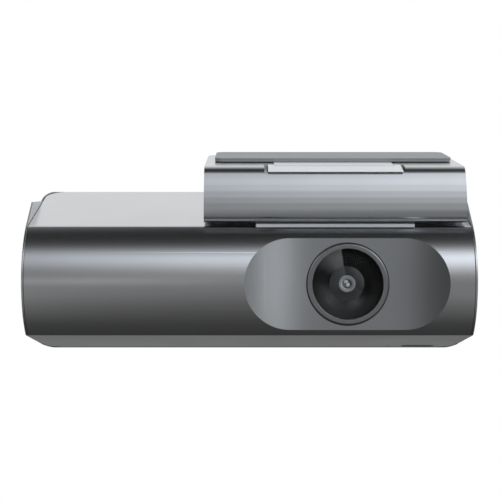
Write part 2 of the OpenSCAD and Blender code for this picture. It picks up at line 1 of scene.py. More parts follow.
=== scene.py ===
"""Looks of a wedge-nosed dash camera that hangs from a windscreen by a sliding bracket.

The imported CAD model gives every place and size. Each visible CAD node is shown through a
merged, bevelled copy of its own mesh, so that its round faces shade smoothly, and the small
fittings that CAD leaves out are added to those copies.
"""
from __future__ import annotations

import json
import logging
import math
from dataclasses import dataclass
from enum import Enum
from typing import Any, Iterable, Sequence

import bmesh
import bpy
from mathutils import Euler, Vector
from mathutils.bvhtree import BVHTree
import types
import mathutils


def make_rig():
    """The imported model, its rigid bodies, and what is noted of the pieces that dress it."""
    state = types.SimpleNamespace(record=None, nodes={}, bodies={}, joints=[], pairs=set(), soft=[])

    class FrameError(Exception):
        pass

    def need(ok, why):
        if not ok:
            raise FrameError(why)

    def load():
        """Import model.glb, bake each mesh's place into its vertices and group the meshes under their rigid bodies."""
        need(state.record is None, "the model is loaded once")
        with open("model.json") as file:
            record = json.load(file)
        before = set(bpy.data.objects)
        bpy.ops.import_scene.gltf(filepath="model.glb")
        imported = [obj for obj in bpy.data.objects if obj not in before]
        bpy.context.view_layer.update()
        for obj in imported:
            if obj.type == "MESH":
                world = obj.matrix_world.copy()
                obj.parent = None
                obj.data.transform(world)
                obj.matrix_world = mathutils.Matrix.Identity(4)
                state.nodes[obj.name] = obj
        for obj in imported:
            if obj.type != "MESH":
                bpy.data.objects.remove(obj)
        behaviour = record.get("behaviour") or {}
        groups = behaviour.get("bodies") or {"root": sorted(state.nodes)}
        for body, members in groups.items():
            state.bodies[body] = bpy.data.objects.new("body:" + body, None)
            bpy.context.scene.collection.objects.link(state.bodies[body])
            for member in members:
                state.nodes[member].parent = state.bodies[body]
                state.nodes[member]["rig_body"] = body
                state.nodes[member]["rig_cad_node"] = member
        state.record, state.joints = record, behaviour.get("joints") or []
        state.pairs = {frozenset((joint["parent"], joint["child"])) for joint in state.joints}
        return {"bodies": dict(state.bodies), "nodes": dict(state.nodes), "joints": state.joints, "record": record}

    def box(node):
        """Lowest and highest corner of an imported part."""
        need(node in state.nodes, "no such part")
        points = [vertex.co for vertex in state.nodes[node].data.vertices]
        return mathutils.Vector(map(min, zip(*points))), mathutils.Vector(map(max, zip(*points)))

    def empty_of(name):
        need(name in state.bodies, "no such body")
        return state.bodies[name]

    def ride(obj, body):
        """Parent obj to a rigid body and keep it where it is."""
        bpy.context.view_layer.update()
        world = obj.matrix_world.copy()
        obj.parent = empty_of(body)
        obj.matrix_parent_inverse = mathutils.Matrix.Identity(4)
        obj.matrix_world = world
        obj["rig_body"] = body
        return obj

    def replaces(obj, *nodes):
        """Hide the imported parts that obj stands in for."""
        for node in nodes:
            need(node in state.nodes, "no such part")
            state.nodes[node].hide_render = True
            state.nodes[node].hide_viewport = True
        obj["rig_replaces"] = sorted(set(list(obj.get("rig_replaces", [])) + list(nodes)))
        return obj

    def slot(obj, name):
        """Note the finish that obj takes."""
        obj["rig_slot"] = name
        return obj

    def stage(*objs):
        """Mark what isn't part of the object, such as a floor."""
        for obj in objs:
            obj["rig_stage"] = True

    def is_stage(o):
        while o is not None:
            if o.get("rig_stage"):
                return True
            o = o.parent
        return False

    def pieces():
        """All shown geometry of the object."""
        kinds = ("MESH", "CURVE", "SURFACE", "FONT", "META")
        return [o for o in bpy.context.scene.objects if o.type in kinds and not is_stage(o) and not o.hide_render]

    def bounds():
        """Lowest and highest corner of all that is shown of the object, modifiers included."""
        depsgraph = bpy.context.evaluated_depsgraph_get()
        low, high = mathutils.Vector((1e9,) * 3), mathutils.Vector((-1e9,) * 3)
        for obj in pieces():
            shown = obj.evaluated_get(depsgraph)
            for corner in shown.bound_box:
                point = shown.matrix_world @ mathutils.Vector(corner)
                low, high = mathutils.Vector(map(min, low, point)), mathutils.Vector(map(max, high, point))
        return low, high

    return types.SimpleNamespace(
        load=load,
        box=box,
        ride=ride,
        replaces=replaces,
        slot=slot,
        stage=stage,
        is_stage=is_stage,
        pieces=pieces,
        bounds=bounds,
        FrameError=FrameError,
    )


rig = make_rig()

LOG = logging.getLogger("dash_camera")
MM = 0.001
Colour = tuple[float, float, float]
Spot = tuple[float, float]

# The photograph's frame, and where its features show in it
W, H = 500, 500
IMAGE_POINTS: dict[str, Spot] = {
    "body_left": (21.3, 283.0),
    "body_right": (477.7, 283.0),
    "body_bottom": (249.5, 347.9),
    "pad_top": (335.5, 153.0),
    "lens_centre": (347.0, 284.0),
    "ring_left": (306.0, 284.0),
    "ring_right": (387.8, 284.0),
    "plate_left": (244.3, 284.0),
    "plate_right": (450.8, 284.0),
    "plate_top": (347.0, 238.2),
    "plate_bottom": (347.0, 329.7),
    "bracket_left": (203.4, 183.0),
    "bracket_right": (467.6, 192.0),
    "hinge_base_left": (255.3, 226.0),
    "hinge_base_right": (414.7, 226.0),
    "pad_left": (216.0, 160.5),
    "button": (417.0, 345.8),
    "glint_high": (345.8, 281.7),
    "glint_low": (347.9, 285.4),
}


class Wire:
    """A socket that takes part in Python expressions."""

    def __init__(self, tree: bpy.types.NodeTree, socket: bpy.types.NodeSocket) -> None:
        """Keeps the socket and the tree that it belongs to.

        Args:
            tree: the node tree.
            socket: an output socket that gives a value.
        """
        self.tree = tree
        self.socket = socket

    def _join(self, operation: str, *terms: Wire | float) -> Wire:
        """Adds a Math node.

        Args:
            operation: the Math node's operation.
            terms: its inputs, wires or numbers.

        Returns:
            The node's output.
        """
        node = self.tree.nodes.new("ShaderNodeMath")
        node.operation = operation
        for slot, term in zip(node.inputs, terms):
            if isinstance(term, Wire):
                self.tree.links.new(term.socket, slot)
            else:
                slot.default_value = term
        return Wire(self.tree, node.outputs[0])

    def __add__(self, other: Wire | float) -> Wire:
        """self + other."""
        return self._join("ADD", self, other)

    __radd__ = __add__

    def __mul__(self, other: Wire | float) -> Wire:
        """self * other."""
        return self._join("MULTIPLY", self, other)

    __rmul__ = __mul__

    def __sub__(self, other: Wire | float) -> Wire:
        """self - other."""
        return self._join("SUBTRACT", self, other)

    def __rsub__(self, other: float) -> Wire:
        """other - self."""
        return self._join("SUBTRACT", other, self)

    def __abs__(self) -> Wire:
        """The size of self."""
        return self._join("ABSOLUTE", self)

    def step(self, low: float, high: float) -> Wire:
        """A smooth step from 0 at low to 1 at high.

        Args:
            low: the value that gives 0.
            high: the value that gives 1.

        Returns:
            The step's output.
        """
        node = self.tree.nodes.new("ShaderNodeMapRange")
        node.interpolation_type = "SMOOTHSTEP"
        node.inputs["From Min"].default_value = low
        node.inputs["From Max"].default_value = high
        self.tree.links.new(self.socket, node.inputs["Value"])
        return Wire(self.tree, node.outputs["Result"])


class Bench:
    """A node tree being built."""

    def __init__(self, tree: bpy.types.NodeTree) -> None:
        """Clears the tree.

        Args:
            tree: the tree to build in.
        """
        self.tree = tree
        tree.nodes.clear()

    def add(self, kind: str, settings: dict[str, Any] | None = None,
            sockets: dict[str | int, Any] | None = None) -> bpy.types.Node:
        """Adds a node.

        Args:
            kind: the node's type.
            settings: its properties, and "stops" for a colour ramp.
            sockets: values, wires or sockets by input name or number.

        Returns:
            The node.
        """
        node = self.tree.nodes.new(kind)
        for name, value in (settings or {}).items():
            if name == "stops":
                self._ramp(node.color_ramp, value)
            else:
                setattr(node, name, value)
        for key, value in (sockets or {}).items():
            self._feed(node.inputs[key], value)
        return node

    def _feed(self, slot: bpy.types.NodeSocket, value: Any) -> None:
        """Links or sets one input.

        Args:
            slot: the input.
            value: a wire or socket to link, or a plain value to set.
        """
        if isinstance(value, Wire):
            self.tree.links.new(value.socket, slot)
        elif isinstance(value, bpy.types.NodeSocket):
            self.tree.links.new(value, slot)
        else:
            slot.default_value = value

    @staticmethod
    def _ramp(ramp: bpy.types.ColorRamp, stops: Sequence[tuple[float, Colour]]) -> None:
        """Sets a ramp's stops.

        Args:
            ramp: the ramp.
            stops: (place, colour) pairs from 0 to 1.
        """
        while len(ramp.elements) > 1:
            ramp.elements.remove(ramp.elements[-1])
        ramp.elements[0].position = stops[0][0]
        ramp.elements[0].color = (*stops[0][1], 1.0)
        for place, colour in stops[1:]:
            ramp.elements.new(place).color = (*colour, 1.0)

    def wire(self, node: bpy.types.Node, output: str | int = 0) -> Wire:
        """An output as a wire.

        Args:
            node: the node.
            output: the output's name or number.

        Returns:
            The wire.
        """
        return Wire(self.tree, node.outputs[output])

    def place(self, stretch: Sequence[float] = (1, 1, 1)) -> bpy.types.NodeSocket:
        """Object coordinates, stretched along the axes.

        Args:
            stretch: a factor for each axis.

        Returns:
            The coordinates' socket.
        """
        spot = self.add("ShaderNodeTexCoord")
        mapping = self.add("ShaderNodeMapping", None,
                           {"Vector": spot.outputs["Object"], "Scale": tuple(stretch)})
        return mapping.outputs[0]

    def noise(self, scale: float, detail: float = 3.0,
              stretch: Sequence[float] = (1, 1, 1)) -> Wire:
        """Noise between 0 and 1 on object coordinates.

        Args:
            scale: how many features fit in a metre.
            detail: octaves.
            stretch: a factor for each axis.

        Returns:
            The noise value.
        """
        node = self.add("ShaderNodeTexNoise", None,
                        {"Vector": self.place(stretch), "Scale": scale, "Detail": detail})
        return self.wire(node, 0)

    def blend(self, share: Wire | float, low: Colour, high: Colour) -> bpy.types.NodeSocket:
        """A colour between two.

        Args:
            share: 0 for low and 1 for high.
            low: first colour.
            high: second colour.

        Returns:
            The mixed colour's socket.
        """
        node = self.add("ShaderNodeMix", {"data_type": "RGBA"},
                        {0: share, 6: (*low, 1.0), 7: (*high, 1.0)})
        return node.outputs[2]

    def bump(self, height: Wire, strength: float, distance: float) -> bpy.types.NodeSocket:
        """A bumped normal.

        Args:
            height: the height signal.
            strength: from 0 to 1.
            distance: the height of 1, in metres.

        Returns:
            The normal's socket.
        """
        node = self.add("ShaderNodeBump", None,
                        {"Height": height, "Strength": strength, "Distance": distance})
        return node.outputs["Normal"]

    def seen(self, kind: str, lit: bpy.types.Node, shown: bpy.types.Node,
             share: float = 1.0) -> None:
        """Ends the tree with one shader for light and another for the camera.

        Args:
            kind: the output node's type.
            lit: the shader that all other rays meet.
            shown: the shader that camera rays meet.
            share: how much of the second those meet.
        """
        ray = self.add("ShaderNodeLightPath")
        mix = self.add("ShaderNodeMixShader", None, {
            0: self.wire(ray, "Is Camera Ray") * share, 1: lit.outputs[0], 2: shown.outputs[0]})
        self.add(kind, None, {"Surface": mix.outputs[0]})


def material(name: str) -> tuple[bpy.types.Material, Bench]:
    """Starts a material.

    Args:
        name: its name.

    Returns:
        The material and its empty tree.
    """
    made = bpy.data.materials.new(name)
    made.use_nodes = True
    return made, Bench(made.node_tree)


@dataclass(frozen=True)
class Finish:
    """An opaque surface.

    Attributes:
        name: the material's name.
        colour: base colour, linear.
        metallic: 1 for metal.
        roughness: the mean roughness.
        wear: how far the roughness wanders.
        grain: cells of the fine texture in a metre.
        stretch: how the grain is drawn out along each axis.
        relief: height of the fine texture, in metres.
        coat: weight of a clear coat.
        tint: a second colour that the fine texture blends towards.
        slot: the record's slot that it belongs to, when that has another name.
    """

    name: str
    colour: Colour
    metallic: float = 0.0
    roughness: float = 0.5
    wear: float = 0.04
    grain: float = 9000.0
    stretch: tuple[float, float, float] = (1.0, 1.0, 1.0)
    relief: float = 4e-6
    coat: float = 0.0
    tint: Colour | None = None
    slot: str = ""

    def make(self) -> bpy.types.Material:
        """Builds the material.

        Returns:
            The new material.
        """
        made, bench = material(self.name)
        shader = bench.add("ShaderNodeBsdfPrincipled", None, {
            "Metallic": self.metallic, "Coat Weight": self.coat, "Coat Roughness": 0.08})
        self.dress(bench, shader)
        bench.add("ShaderNodeOutputMaterial", None, {"Surface": shader.outputs[0]})
        made.diffuse_color = (*self.colour, 1.0)
        return made

    def dress(self, bench: Bench, shader: bpy.types.Node) -> None:
        """Feeds the shader's varying inputs.

        Args:
            bench: the material's tree.
            shader: its Principled shader.
        """
        # a fine grain, and patches of about 20 mm
        fine = bench.noise(self.grain, 2.0, self.stretch)
        broad = bench.noise(45.0, 3.0)
        far_colour = self.tint or tuple(c * 0.93 for c in self.colour)
        mix = bench.blend(broad.step(0.35, 0.7) * 0.5 + fine * 0.5, self.colour, far_colour)
        bench.tree.links.new(mix, shader.inputs["Base Color"])
        rough = self.roughness + (fine - 0.5) * self.wear + (broad - 0.5) * self.wear
        bench.tree.links.new(rough.socket, shader.inputs["Roughness"])
        bench.tree.links.new(bench.bump(fine, 0.5, self.relief), shader.inputs["Normal"])


@dataclass(frozen=True)
class Woven(Finish):
    """A woven cloth.

    Attributes:
        thread: threads in a metre.
    """

    thread: float = 3300.0

    def dress(self, bench: Bench, shader: bpy.types.Node) -> None:
        """Feeds the shader with two crossed waves.

        Args:
            bench: the material's tree.
            shader: its Principled shader.
        """
        waves = []
        for turn in ("X", "Z"):
            node = bench.add("ShaderNodeTexWave", {"bands_direction": turn},
                             {"Vector": bench.place(), "Scale": self.thread / 6.28,
                              "Distortion": 0.4})
            waves.append(bench.wire(node, 1))
        weave = waves[0] * waves[1]
        dark = tuple(c * 0.4 for c in self.colour)
        bench.tree.links.new(bench.blend(weave, dark, self.colour), shader.inputs["Base Color"])
        bench.tree.links.new((self.roughness - weave * 0.1).socket, shader.inputs["Roughness"])
        bench.tree.links.new(bench.bump(weave, 0.7, 2e-5), shader.inputs["Normal"])


@dataclass(frozen=True)
class PaintedReflection(Finish):
    """A dark face of revolution with painted reflections: its colour lightens and darkens with the turn.

    Attributes:
        stops: (turn, share) pairs; the turn runs clockwise in degrees from the foot of the
        piece, seen from the front, and the share is how bright the painted reflection makes the colour there.
    """

    stops: tuple[tuple[float, float], ...] = ()

    def dress(self, bench: Bench, shader: bpy.types.Node) -> None:
        """Feeds the shader with the finish, then with the swept colour of painted reflections.

        Args:
            bench: the material's tree.
            shader: its Principled shader.
        """
        super().dress(bench, shader)
        spot = bench.add("ShaderNodeTexCoord")
        axes = bench.add("ShaderNodeSeparateXYZ", None, {0: spot.outputs["Generated"]})
        flat = bench.add("ShaderNodeCombineXYZ", None, {
            "X": bench.wire(axes, "Z") - 0.5, "Y": bench.wire(axes, "X") - 0.5})
        turn = bench.add("ShaderNodeTexGradient", {"gradient_type": "RADIAL"},
                         {0: flat.outputs[0]})
        # the stops paint reflections: lighter wedges and darker sectors round the axis
        stops = [(at / 360.0, tuple(c * share for c in self.colour)) for at, share in self.stops]
        ramp = bench.add("ShaderNodeValToRGB", {"stops": stops}, {0: bench.wire(turn, "Fac")})
        bench.tree.links.new(ramp.outputs[0], shader.inputs["Base Color"])


@dataclass(frozen=True)
class Glass:
    """Coated optical glass.

    Attributes:
        name: the material's name.
        colour: tint of what comes through.
        ior: index of refraction; low, as the coating takes most of the reflection away.
        slot: the record's slot that it belongs to, when that has another name.
    """

    name: str
    colour: Colour = (0.8, 0.82, 0.84)
    ior: float = 1.13
    slot: str = ""

    def make(self) -> bpy.types.Material:
        """Builds the material.

        Returns:
            The new material.
        """
        made, bench = material(self.name)
        haze = 0.015 + bench.noise(220.0).step(0.45, 0.8) * 0.02
        shader = bench.add("ShaderNodeBsdfPrincipled", None, {
            "Base Color": (*self.colour, 1.0), "Transmission Weight": 1.0, "IOR": self.ior,
            "Roughness": haze})
        bench.add("ShaderNodeOutputMaterial", None, {"Surface": shader.outputs[0]})
        return made


class Look(Enum):
    """The object's finishes, each under the name of its slot in the record."""

    satin_metal = Finish("satin_metal", (0.60, 0.615, 0.635), 1.0, 0.24, 0.05, 8000.0)
    satin_grey = Finish("satin_grey", (0.53, 0.545, 0.565), 1.0, 0.26, 0.05, 8000.0)
    plate_metal = Finish("plate_metal", (0.485, 0.51, 0.54), 1.0, 0.16, 0.03, 7000.0)
    ring_metal = Finish("ring_metal", (0.34, 0.345, 0.355), 1.0, 0.26, 0.05, 5000.0)
    plate_plastic = Finish("plate_plastic", (0.42, 0.43, 0.445), 0.0, 0.42, 0.06, 5000.0)
    pad_foam = Finish("pad_foam", (0.19, 0.2, 0.21), 0.0, 0.75, 0.1, 2600.0, relief=3e-5)
    black_plastic = Finish("black_plastic", (0.012, 0.012, 0.013), 0.0, 0.42, 0.1, 3500.0,
                           relief=1.5e-5)
    bare_aluminium = Finish("bare_aluminium", (0.60, 0.62, 0.64), 0.7, 0.5, 0.08, 2500.0,
                            (0.05, 1.0, 1.0))
    black_anodised = Finish("black_anodised", (0.02, 0.02, 0.022), 0.6, 0.32, 0.06)
    steel = Finish("steel", (0.42, 0.42, 0.43), 1.0, 0.28, 0.08)
    brass = Finish("brass", (0.62, 0.43, 0.16), 1.0, 0.3, 0.08)
    ceramic_white = Finish("ceramic_white", (0.7, 0.66, 0.56), 0.0, 0.5, 0.06)
    lens_glass = Glass("lens_glass")
    silicon = Finish("silicon", (0.05, 0.04, 0.09), 0.2, 0.12, 0.03, 1500.0, coat=0.5)
    circuit_board = Finish("circuit_board", (0.01, 0.09, 0.035), 0.0, 0.35, 0.08, 1800.0,
                           tint=(0.02, 0.15, 0.06), relief=1e-5)
    sleeve_blue = Finish("sleeve_blue", (0.015, 0.03, 0.14), 0.0, 0.3, 0.05, 1200.0, coat=0.3)
    button_plastic = Finish("button_plastic", (0.035, 0.035, 0.038), 0.0, 0.38, 0.08, 3500.0,
                            relief=1e-5)
    grille_cloth = Woven("grille_cloth", (0.02, 0.02, 0.022), 0.0, 0.8, slot="black_plastic")
    # the lens's inner faces carry painted reflections: a light wedge and dark sectors swept round the axis
    baffle_black = PaintedReflection(
        "baffle_black", (0.2, 0.2, 0.2), 1.0, 0.4, 0.01, relief=1e-8, slot="black_anodised",
        stops=((0, .135), (45, .11), (90, .065), (108, .045), (117, .06), (131, .22),
               (150, .50), (169, .60), (171, .03), (230, .04), (275, .10), (293, .12),
               (298, .16), (320, .15), (360, .135)))
    element_black = PaintedReflection(
        "element_black", (0.2, 0.2, 0.2), 1.0, 0.35, 0.01, relief=1e-8, slot="black_anodised",
        stops=((0, .25), (45, .34), (90, .50), (135, .52), (168, .50), (174, .20), (230, .16),
               (270, .15), (292, .17), (300, .26), (330, .25), (360, .25)))
    element_rim = Finish("element_rim", (0.3, 0.3, 0.31), 1.0, 0.4, slot="black_anodised")
    stop_grey = Finish("stop_grey", (0.28, 0.28, 0.29), 1.0, 0.35, slot="black_anodised")
    # white discs that stand in for the lamps' glints in the lens: a painted highlight
    sensor_glint = Finish("sensor_glint", (0.85, 0.86, 0.88), 0.0, 0.4, slot="steel")
    seam_black = Finish("seam_black", (0.012, 0.012, 0.012), 0.0, 0.6, slot="black_anodised")

    @property
    def slot(self) -> str:
        """The record's slot for the finish."""
        return self.value.slot or self.name


def linked(name: str, data: bpy.types.ID) -> bpy.types.Object:
    """Puts a new object in the scene.

    Args:
        name: its name.
        data: its mesh, light or camera.

    Returns:
        The object.
    """
    obj = bpy.data.objects.new(name, data)
    bpy.context.scene.collection.objects.link(obj)
    return obj


class Paints(dict[Look, bpy.types.Material]):
    """Materials, each built once, when it is first asked for."""

    def __missing__(self, look: Look) -> bpy.types.Material:
        """Builds a material that isn't there yet.

        Args:
            look: the finish.

        Returns:
            Its material.
        """
        self[look] = look.value.make()
        return self[look]


@dataclass(frozen=True)
class Sky:
    """Stops of the studio's light round the object, by the height of a direction.

    Attributes:
        front: (height, level) pairs for the light before the object.
        back: the same for the light behind it.
        fade: how far back the one starts and ends to turn into the other.
        peak: a level above all stops, as a colour ramp holds nothing above 1.
        red: how far red departs from green at level 0, and for each level more.
        blue: the same for blue.
    """

    front: tuple[Spot, ...] = (
        (-1.0, 0.06), (-0.91, 0.075), (-0.72, 0.1), (-0.53, 0.14), (-0.31, 0.21),
        (-0.07, 0.275), (0.17, 0.36), (0.28, 0.55), (0.38, 0.75), (0.47, 1.06), (0.62, 1.33),
        (0.69, 0.9), (0.77, 0.3), (0.83, 0.08), (0.91, 0.025), (1.0, 0.015))
    back: tuple[Spot, ...] = (
        (-1.0, 0.045), (-0.6, 0.08), (-0.34, 0.15), (-0.1, 0.5),
        (0.0, 1.0), (0.59, 1.0), (0.8, 0.85), (0.93, 0.5), (0.985, 0.12), (1.0, 0.05))
    fade: Spot = (-0.12, 0.2)
    peak: float = 1.4
    red: Spot = (0.02, -0.045)
    blue: Spot = (-0.03, 0.075)

    def cooled(self, level: float, tint: float) -> Colour:
        """A level as a ramp's colour, bluer the brighter it is.

        Args:
            level: the level.
            tint: 0 for grey, 1 for the full tint.

        Returns:
            The colour, as a share of the peak.
        """
        share = level / self.peak
        red, blue = (1 + tint * (start + slope * level) for start, slope in (self.red, self.blue))
        return share * red, share, share * blue


@dataclass(frozen=True)
class Studio:
    """Camera, soft lamps, backdrop and floor.

    Attributes:
        sky: the light round the object.
        lens: the camera's focal length, in mm.
        sensor: its sensor's width, in mm.
        eye: its place.
        target: the place that the lamps are set from and aimed at.
        floor_z: the floor's height.
    """

    sky: Sky = Sky()
    lens: float = 86.4
    sensor: float = 36.0
    eye: tuple[float, float, float] = (-0.020385, -0.3021426, -0.0239504)
    target: tuple[float, float, float] = (-0.02, 0.0, -0.02)
    floor_z: float = -0.30

    def build(self) -> bpy.types.Object:
        """Builds everything.

        Returns:
            The camera.
        """
        self._world()
        self._floor()
        self._lamp("key", (-0.25, -0.35, 0.75), 0.6, 7.0)
        self._lamp("fill", (0.45, -0.5, 0.15), 0.5, 3.0)
        return self._camera()

    def _camera(self) -> bpy.types.Object:
        """The photograph's camera: level, and straight on to the nose."""
        data = bpy.data.cameras.new("camera")
        data.lens = self.lens
        data.sensor_width = self.sensor
        data.clip_start = 0.01
        camera = linked("camera", data)
        camera.location = self.eye
        camera.rotation_euler = (math.pi / 2, 0.0, 0.0)
        bpy.context.scene.camera = camera
        return camera

    def _lamp(self, name: str, spot: tuple[float, float, float], size: float,
              watts: float) -> None:
        """Adds a square soft lamp aimed at the object.

        Args:
            name: its name.
            spot: its place, from the target.
            size: its side, in metres.
            watts: its power.
        """
        data = bpy.data.lights.new(name, "AREA")
        data.size = size
        data.energy = watts
        lamp = linked(name, data)
        lamp.location = Vector(self.target) + Vector(spot)
        lamp.rotation_euler = (-Vector(spot)).to_track_quat("-Z", "Y").to_euler()
        lamp.visible_glossy = False

    def _world(self) -> None:
        """White to the camera; to the object, levels by height that change across."""
        world = bpy.data.worlds.new("studio")
        world.use_nodes = True
        bpy.context.scene.world = world
        bench = Bench(world.node_tree)
        place = bench.add("ShaderNodeTexCoord")
        split = bench.add("ShaderNodeSeparateXYZ", None, {"Vector": place.outputs["Generated"]})
        x, y, z = (bench.wire(split, i) for i in range(3))
        share = z * 0.5 + 0.5
        level = []
        for stops, tint in ((self.sky.front, 1.0), (self.sky.back, 0.0)):
            cool = [((height + 1) / 2, self.sky.cooled(value, tint)) for height, value in stops]
            ramp = bench.add("ShaderNodeValToRGB", {"stops": cool}, {"Fac": share})
            ramp.color_ramp.interpolation = "B_SPLINE"
            level.append(ramp.outputs[0])
        around = bench.add("ShaderNodeMix", {"data_type": "RGBA"},
                           {0: y.step(*self.sky.fade), 6: level[0], 7: level[1]})
        # before the nose only: a window on the left and dusk on the right, both about level,
        # a high light that leans to the right, and low light that grows to both sides
        ahead = 1.0 - y.step(-0.6, -0.2)
        dusk = x.step(0.24, 0.36) * (1.0 - abs(z).step(0.2, 0.5)) * 0.76
        window = x.step(-0.22, -0.17) * (1.0 - x.step(-0.12, -0.07)) \
            * (1.0 - abs(z + 0.028).step(0.045, 0.08)) * 2.0
        lean = x * z.step(0.0, 0.3) * (2.2 - x.step(-0.05, 0.1) * 0.8) \
            + abs(x) * (1.0 - z.step(-0.5, 0.0)) * 3.5
        side = (1.0 + ahead * (window + lean - dusk)) * self.sky.peak
        soft = bench.add("ShaderNodeBackground", None,
                         {"Color": around.outputs[2], "Strength": side})
        white = bench.add("ShaderNodeBackground", None, {"Color": (1, 1, 1, 1), "Strength": 1.0})
        bench.seen("ShaderNodeOutputWorld", soft, white)

    def _floor(self) -> None:
        """A pale floor below and behind the object, white to the camera."""
        made, bench = material("floor")
        matt = bench.add("ShaderNodeBsdfDiffuse", None, {"Color": (0.8, 0.8, 0.8, 1.0)})
        glow = bench.add("ShaderNodeEmission", None, {"Color": (1, 1, 1, 1), "Strength": 1.0})
        bench.seen("ShaderNodeOutputMaterial", matt, glow, 0.9)
        mesh = bpy.data.meshes.new("floor")
        z = self.floor_z
        mesh.from_pydata([(-0.7, -0.7, z), (0.7, -0.7, z), (0.7, 0.9, z), (-0.7, 0.9, z)],
                         [], [(0, 1, 2, 3)])
        mesh.materials.append(made)
        floor = linked("floor", mesh)
        floor.visible_glossy = False
        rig.stage(floor)


def shaded(bm: bmesh.types.BMesh, crease: float) -> None:
    """Smooths a mesh's faces between its sharp edges.

    Args:
        bm: the mesh.
        crease: the angle, in degrees, from which an edge stays sharp.
    """
    for face in bm.faces:
        face.smooth = True
    for edge in bm.edges:
        edge.smooth = edge.is_manifold and edge.calc_face_angle(0.0) < math.radians(crease)


def sliced(bm: bmesh.types.BMesh, normal: Sequence[float], point: Sequence[float],
           clear: bool = False) -> list[Any]:
    """Cuts a mesh with a plane.

    Args:
        bm: the mesh.
        normal: the plane's normal.
        point: a point on the plane.
        clear: whether what lies beyond the plane goes.

    Returns:
        The vertices and edges on the plane.
    """
    geometry = bm.verts[:] + bm.edges[:] + bm.faces[:]
    return bmesh.ops.bisect_plane(bm, geom=geometry, dist=1e-7, plane_no=normal, plane_co=point,
                                  clear_outer=clear)["geom_cut"]


def banded(bm: bmesh.types.BMesh, rings: Sequence[Sequence[bmesh.types.BMVert]]) -> None:
    """Joins each closed ring of vertices to the next with quads.

    Args:
        bm: the mesh.
        rings: the rings, all with the same count.
    """
    for low, high in zip(rings, rings[1:]):
        for i in range(len(low)):
            j = (i + 1) % len(low)
            bm.faces.new((low[i], low[j], high[j], high[i]))


def from_mesh(bm: bmesh.types.BMesh, name: str) -> bpy.types.Object:
    """Makes an object of a bmesh and frees it.

    Args:
        bm: the mesh, in the row frame.
        name: the object's name.

    Returns:
        The new object, linked to the scene.
    """
    mesh = bpy.data.meshes.new(name)
    bm.to_mesh(mesh)
    bm.free()
    return linked(name, mesh)


def applied(obj: bpy.types.Object) -> bpy.types.Object:
    """Turns the object's modifiers into mesh.

    Args:
        obj: an object with modifiers.

    Returns:
        The same object, with none.
    """
    bpy.context.view_layer.update()
    depsgraph = bpy.context.evaluated_depsgraph_get()
    mesh = bpy.data.meshes.new_from_object(obj.evaluated_get(depsgraph),
                                           preserve_all_data_layers=True, depsgraph=depsgraph)
    obj.modifiers.clear()
    old = obj.data
    obj.data = mesh
    mesh.name = obj.name
    bpy.data.meshes.remove(old)
    return obj


class Fitter:
    """Puts finished pieces on the frame."""

    def __init__(self, frame: dict[str, Any], paints: Paints) -> None:
        """Keeps the frame and the materials.

        Args:
            paints: the materials.
        """
        self.nodes: dict[str, bpy.types.Object] = frame["nodes"]
        self.paints = paints

    def body(self, node: str) -> str:
        """The body that a CAD node is on.

        Args:
            node: the node.

        Returns:
            The body's name.
        """
        return self.nodes[node]["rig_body"]

    def fit(self, obj: bpy.types.Object, look: Look, body: str,
            instead_of: Iterable[str] = ()) -> bpy.types.Object:
        """Paints a piece and makes it ride.

        Args:
            obj: the piece, in place.
            look: its finish.
            body: the body that it moves with.
            instead_of: CAD nodes that it stands for.

        Returns:
            The piece.
        """
        if not obj.data.materials:  # a skin of two finishes has its own by now
            obj.data.materials.append(self.paints[look])
        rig.ride(obj, body)
        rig.slot(obj, look.slot)
        for node in instead_of:
            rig.replaces(obj, node)
        return obj

    def paint_node(self, node: str, look: Look) -> None:
        """Gives a CAD node that stays shown its finish.

        Args:
            node: the node.
            look: its finish.
        """
        obj = self.nodes[node]
        obj.data.materials.clear()
        obj.data.materials.append(self.paints[look])


@dataclass(frozen=True)
class Skin:
    """How one CAD node is dressed.

    Attributes:
        node: the CAD node.
        look: its finish.
        bevel: width of its worn edges, in mm, or 0 for none.
        crease: faces that meet at more than this angle, in degrees, keep a sharp edge.
    """

    node: str
    look: Look
    bevel: float = 0.12
    crease: float = 28.0

    def build(self, fitter: Fitter) -> bpy.types.Object:
        """Makes the smooth copy.

        Args:
            fitter: where it goes.

        Returns:
            The new piece.
        """
        bm = bmesh.new()
        bm.from_mesh(fitter.nodes[self.node].data)
        # the node's faces are apart: join them, and merge those that lie flat together
        bmesh.ops.remove_doubles(bm, verts=bm.verts, dist=2e-6)
        bmesh.ops.dissolve_degenerate(bm, edges=bm.edges, dist=1e-6)
        bmesh.ops.dissolve_limit(bm, angle_limit=math.radians(0.4), verts=bm.verts,
                                 edges=bm.edges)
        bmesh.ops.recalc_face_normals(bm, faces=bm.faces)
        shaded(bm, self.crease)
        self.shape(bm)
        obj = from_mesh(bm, self.node + "_skin")
        if self.bevel:
            bevel = obj.modifiers.new("edges", "BEVEL")
            bevel.width = self.bevel * MM
            bevel.segments = 2
            bevel.limit_method = "ANGLE"
            bevel.angle_limit = math.radians(self.crease)
            bevel.use_clamp_overlap = True
            bevel.harden_normals = True
            applied(obj)
        self.paint(obj, fitter)
        return fitter.fit(obj, self.look, fitter.body(self.node), [self.node])

    def shape(self, bm: bmesh.types.BMesh) -> None:
        """Changes the merged mesh before its edges are bevelled.

        Args:
            bm: the mesh.
        """

    def paint(self, obj: bpy.types.Object, fitter: Fitter) -> None:
        """Gives single faces another finish.

        Args:
            obj: the finished piece.
            fitter: where the materials are.
        """


